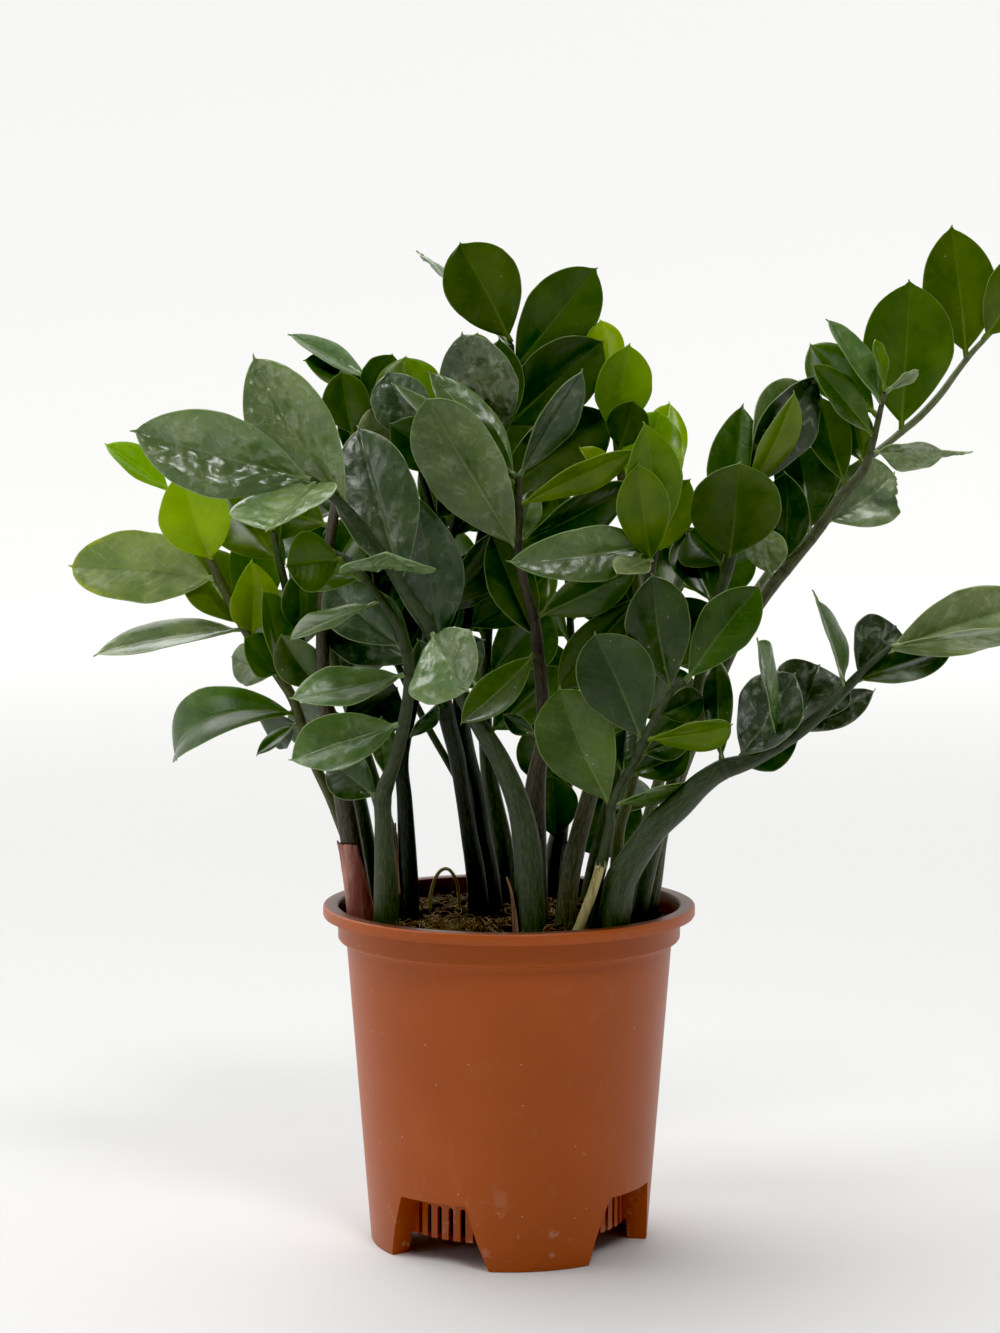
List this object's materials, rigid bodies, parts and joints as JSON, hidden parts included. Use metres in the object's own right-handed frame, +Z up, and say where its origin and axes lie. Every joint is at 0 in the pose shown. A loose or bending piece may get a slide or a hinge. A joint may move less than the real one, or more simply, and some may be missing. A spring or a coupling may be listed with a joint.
{
  "type": "potted zz plant",
  "caption": "ZZ plant (sold as cardboard palm) with glossy feathered fronds in a round footed nursery pot of terracotta-coloured plastic.",
  "frame": {"origin": "middle of the whole plant's box, on the ground plane that the pot's feet stand on; the pot's own axis is 35.2 mm to -X and 6.5 mm to -Y of it", "axes": "+Z up, -Y the front of the plant, +X its right as seen from the front"},
  "size_m": [0.4748, 0.2504, 0.464],
  "materials": {
    "terracotta": "moulded terracotta-coloured plastic, satin, lightly scuffed at the feet",
    "soil": "moist dark peat compost, crumbly",
    "green": "fleshy glossy leaf, mid green, pale thin margin",
    "grey_green": "fleshy leaf with a soft grey-green sheen, ribbed grey-green stalk",
    "dark_green": "glossy dark green leaf, nearly black-green stalk",
    "pale_green": "satin pale green leaf with paler midrib",
    "bright_green": "young yellow-green leaf, translucent against the light",
    "brown_green": "glossy green leaf on a brownish streaked stalk",
    "pink_sheath": "papery pinkish sheath",
    "dry_brown": "dried papery brown sheath",
    "straw": "dry straw-coloured stalk, frayed where cut",
    "moss": "tangled brown-green moss and root fibre"
  },
  "bodies": {
    "root": {"frond_top_left": "grey_green", "frond_front_left": "green", "frond_front_right": "green", "frond_arching_right": "grey_green", "frond_centre": "brown_green", "frond_centre_right": "pale_green", "frond_left_bright": "bright_green", "frond_right_upper": "brown_green", "frond_right_round": "green", "frond_left_tall": "brown_green", "frond_left_dark": "dark_green", "frond_centre_grey": "dark_green", "frond_top_centre": "dark_green", "frond_right_mid": "bright_green", "frond_left_mid": "green", "frond_right_far": "pale_green", "frond_thin_back": "green", "frond_back_centre": "green", "frond_back_left": "green", "frond_back_right": "green", "frond_back_low": "dark_green", "pot": "terracotta", "soil": "soil", "soil_below": "soil", "sheath_left_tall": "pink_sheath", "sheath_top_left_dry": "dry_brown", "sheath_top_left_low": "dry_brown", "sheath_front_right_low": "dry_brown", "sheath_left_dark_torn": "dry_brown", "cut_stub": "straw", "root_loop": "straw", "moss_tuft_left": "moss", "moss_tuft_front": "moss"}
  },
  "joints": []
}
